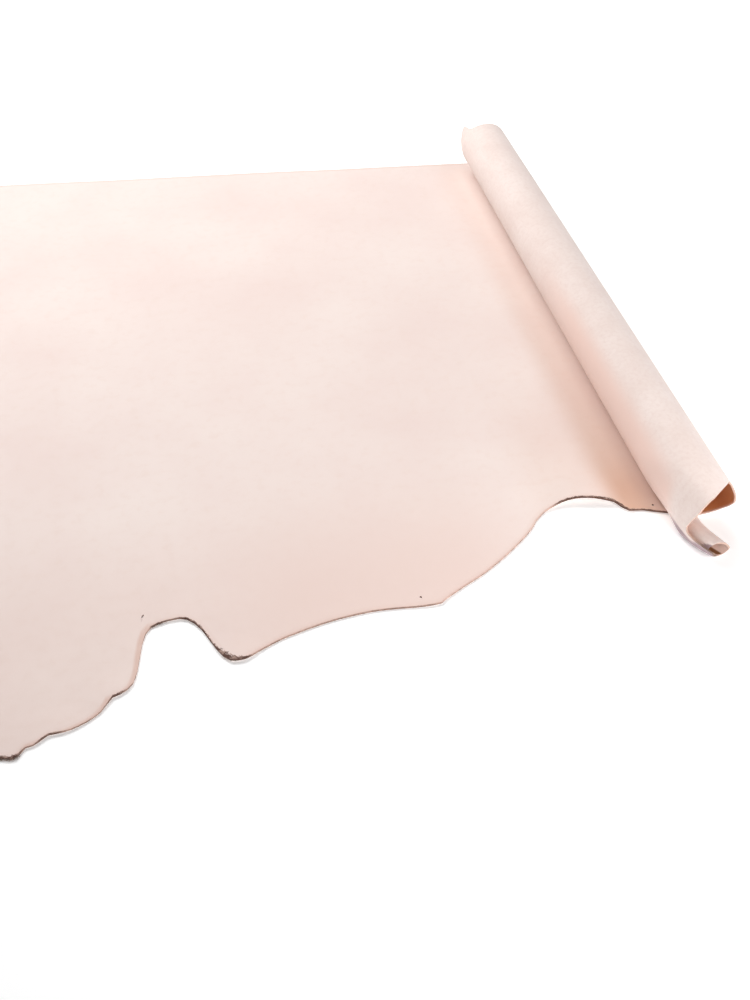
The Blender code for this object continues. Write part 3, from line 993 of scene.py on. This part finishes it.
def make_stage(scene):
    """Build the floor, the walls' light, the lamps and the camera."""
    make_floor(scene)
    scene.world = make_walls(scene.studio)
    for light in LIGHTS:
        lamp = bpy.data.lights.new(light.name, "AREA")
        lamp.size = light.width
        lamp.energy = light.power
        placed = bpy.data.objects.new(light.name, lamp)
        placed.visible_camera = False
        placed.location = light.place
        aim = Vector(light.aim) - Vector(light.place)
        placed.rotation_euler = aim.to_track_quat("-Z", "Y").to_euler()
        scene.collection.objects.link(placed)
    place_camera(scene)
    scene.view_settings.view_transform = "Standard"


def make_floor(scene):
    """Seamless white paper, lit from below as on a light table, so that it stays white."""
    material, tree, shader = new_material("seamless_paper_white")
    fill(tree, shader, {
        "Base Color": scene.studio.floor, "Roughness": 0.9, "Specular IOR Level": 0.1,
        "Emission Color": (1, 1, 1, 1), "Emission Strength": scene.studio.floor_glow})
    data = bpy.data.meshes.new("floor")
    corners = [(-1, -1), (1, -1), (1, 1), (-1, 1)]
    data.from_pydata(
        [(x * FLOOR_HALF, y * FLOOR_HALF, -FLOOR_DROP) for x, y in corners],
        [], [(0, 1, 2, 3)])
    data.materials.append(material)
    floor = bpy.data.objects.new("floor", data)
    scene.collection.objects.link(floor)


def make_walls(studio):
    """World of a white room: its walls are bright near the floor and its ceiling is dim."""
    world = bpy.data.worlds.new("white_room")
    world.use_nodes = True
    tree = world.node_tree
    way = add(tree, "ShaderNodeTexCoord", "Generated", {})
    height = add(tree, "ShaderNodeSeparateXYZ", "Z", {"Vector": way})
    strength = add(tree, "ShaderNodeMapRange", "Result", {
        "Value": height, "From Min": WALL_FADE.starts, "From Max": WALL_FADE.ends,
        "To Min": studio.walls, "To Max": studio.overhead})
    fill(tree, tree.nodes["Background"], {"Color": (1, 1, 1, 1), "Strength": strength})
    return world


def place_camera(scene):
    """Camera with a normal lens, placed from the corner where the back edge meets the roll."""
    studio = scene.studio
    points, _, _, _ = sheet_grid(scene.hide_sizes)
    corner = middle_shift(points)
    lens = bpy.data.cameras.new("camera")
    lens.lens = CAMERA_LENS
    lens.sensor_width = CAMERA_SENSOR
    lens.clip_end = CAMERA_RANGE
    camera = bpy.data.objects.new("camera", lens)
    camera.location = (
        corner[0] + CAMERA_FROM_CORNER.x, corner[1] + CAMERA_FROM_CORNER.y,
        studio.camera_height)
    level = np.cos(studio.pitch)
    way = Vector((np.cos(studio.heading) * level, np.sin(studio.heading) * level,
                  -np.sin(studio.pitch)))
    camera.rotation_euler = way.to_track_quat("-Z", "Y").to_euler()
    scene.collection.objects.link(camera)
    scene.camera = camera


class HIDE_PT_panel(bpy.types.Panel):
    """Sizes, colours and making of the cowhide"""
    bl_idname = "HIDE_PT_panel"
    bl_label = "Cowhide"
    bl_space_type = "VIEW_3D"
    bl_region_type = "UI"
    bl_category = "Cowhide"

    def draw(self, context):
        for title, group in (("Sizes", context.scene.hide_sizes),
                             ("Colours", context.scene.hide_colours),
                             ("Studio", context.scene.studio)):
            box = self.layout.box()
            box.label(text=title)
            for name in group.__annotations__:
                box.prop(group, name)
        for name in ("hide.sheet", "hide.fibres", "studio.stage"):
            self.layout.operator(name)


CLASSES = (HideSizes, HideColours, StudioSettings, HIDE_OT_sheet, HIDE_OT_fibres,
           STUDIO_OT_stage, HIDE_PT_panel)


def register():
    for item in CLASSES:
        bpy.utils.register_class(item)
    bpy.types.Scene.hide_sizes = PointerProperty(type=HideSizes)
    bpy.types.Scene.hide_colours = PointerProperty(type=HideColours)
    bpy.types.Scene.studio = PointerProperty(type=StudioSettings)


def unregister():
    del bpy.types.Scene.studio
    del bpy.types.Scene.hide_colours
    del bpy.types.Scene.hide_sizes
    for item in reversed(CLASSES):
        bpy.utils.unregister_class(item)


def main():
    register()
    bpy.ops.hide.sheet()
    bpy.ops.hide.fibres()
    bpy.ops.studio.stage()


if __name__ == "__main__":
    main()
